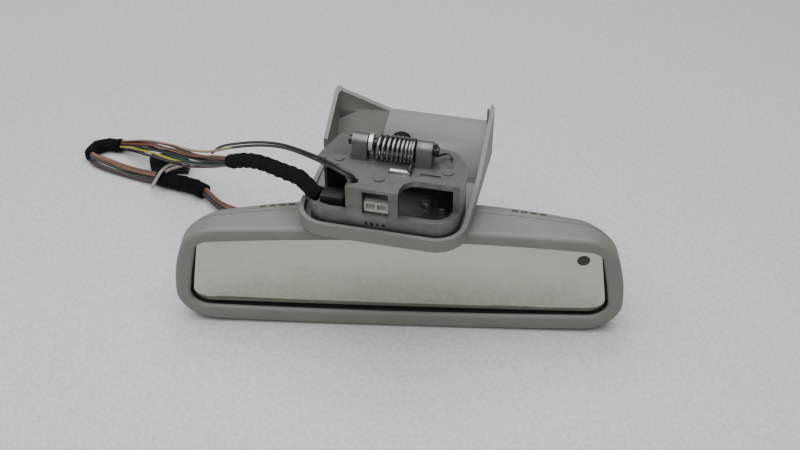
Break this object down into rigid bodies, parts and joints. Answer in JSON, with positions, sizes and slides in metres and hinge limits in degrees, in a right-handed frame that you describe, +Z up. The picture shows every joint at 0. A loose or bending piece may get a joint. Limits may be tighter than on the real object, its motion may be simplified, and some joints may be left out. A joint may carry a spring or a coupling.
{
  "type": "interior rearview mirror",
  "caption": "Self-dimming interior rearview mirror with a ball-jointed head, a sprung roof mount and a taped wiring harness.",
  "frame": {"origin": "top of the mount's front locating pad, which bears on the roof header", "axes": "+X along the head's width, +Z up towards the roof, -Y out of the glass towards the driver"},
  "size_m": [0.3533, 0.1931, 0.1243],
  "materials": {
    "grey_abs": "fine moulded grain",
    "mirror_glass": "bright, slightly green",
    "backing_glass": "clear",
    "black_rubber": "matt",
    "black_nylon": "moulded",
    "board": "solder mask",
    "white_nylon": "moulded",
    "dark_window": "polished",
    "steel": "bright zinc plated",
    "zinc": "as cast",
    "cloth_tape": "cloth tape",
    "wire_bundle": "coloured insulation",
    "black_lead": "insulation",
    "grey_lead": "insulation"
  },
  "bodies": {
    "mount": {"mount_bracket": "zinc", "mount_shroud": "grey_abs", "ball_stud": "zinc", "stud_nut": "steel", "stud_cap": "black_rubber", "spring_shaft": "steel", "shaft_clip": "steel", "torsion_spring": "steel", "terminal_block": "white_nylon", "mount_connector": "black_nylon", "shroud_screw_1": "steel", "shroud_screw_2": "steel", "shroud_screw_3": "steel", "loom_sleeve": "cloth_tape", "loom_upper": "wire_bundle", "loom_wrap": "cloth_tape", "loom_return": "wire_bundle", "loom_lower_wrap": "cloth_tape", "loom_tail": "wire_bundle", "loom_connector": "black_nylon", "lead_pair": "black_lead", "small_connector": "black_nylon", "stub_lead_1": "grey_lead", "stub_lead_2": "grey_lead"},
    "liner_rear_body": {"liner_rear": "white_nylon"},
    "liner_front_body": {"liner_front": "white_nylon"},
    "head": {"front_bezel": "grey_abs", "rear_shell": "grey_abs", "front_glass": "mirror_glass", "glass_seal": "black_rubber", "rear_glass": "backing_glass", "foam_pad": "black_rubber", "glass_carrier": "black_nylon", "circuit_board": "board", "board_connector": "white_nylon", "glare_sensor": "dark_window", "sensor_window": "dark_window", "ambient_window": "dark_window", "carrier_screw_1": "steel", "carrier_screw_2": "steel", "carrier_screw_3": "steel", "carrier_screw_4": "steel", "socket_base": "black_nylon", "socket_cap": "black_nylon", "socket_washer": "steel", "socket_screw_1": "steel", "socket_screw_2": "steel", "socket_screw_3": "steel", "socket_screw_4": "steel"},
    "lever": {"latch_lever": "steel"}
  },
  "joints": [
    {"name": "head_pan", "type": "hinge", "parent": "mount", "child": "liner_rear_body", "pos_m": [0.00962, 0.04693, -0.0661], "axis": [0, 0, 1], "range_deg": [-15, 15]},
    {"name": "head_roll", "type": "hinge", "parent": "liner_rear_body", "child": "liner_front_body", "pos_m": [0.00962, 0.04693, -0.0661], "axis": [0, 1, 0], "range_deg": [-3, 3]},
    {"name": "head_tilt", "type": "hinge", "parent": "liner_front_body", "child": "head", "pos_m": [0.00962, 0.04693, -0.0661], "axis": [1, 0, 0], "range_deg": [-3, 15]},
    {"name": "latch_swing", "type": "hinge", "parent": "mount", "child": "lever", "pos_m": [0.00561, 0.0193, 0.0072], "axis": [0.9833, -0.1822, 0], "range_deg": [0, 8], "stiffness_Nm_per_rad": 0.6, "springref_deg": -11.46, "deforming": ["torsion_spring"]}
  ]
}
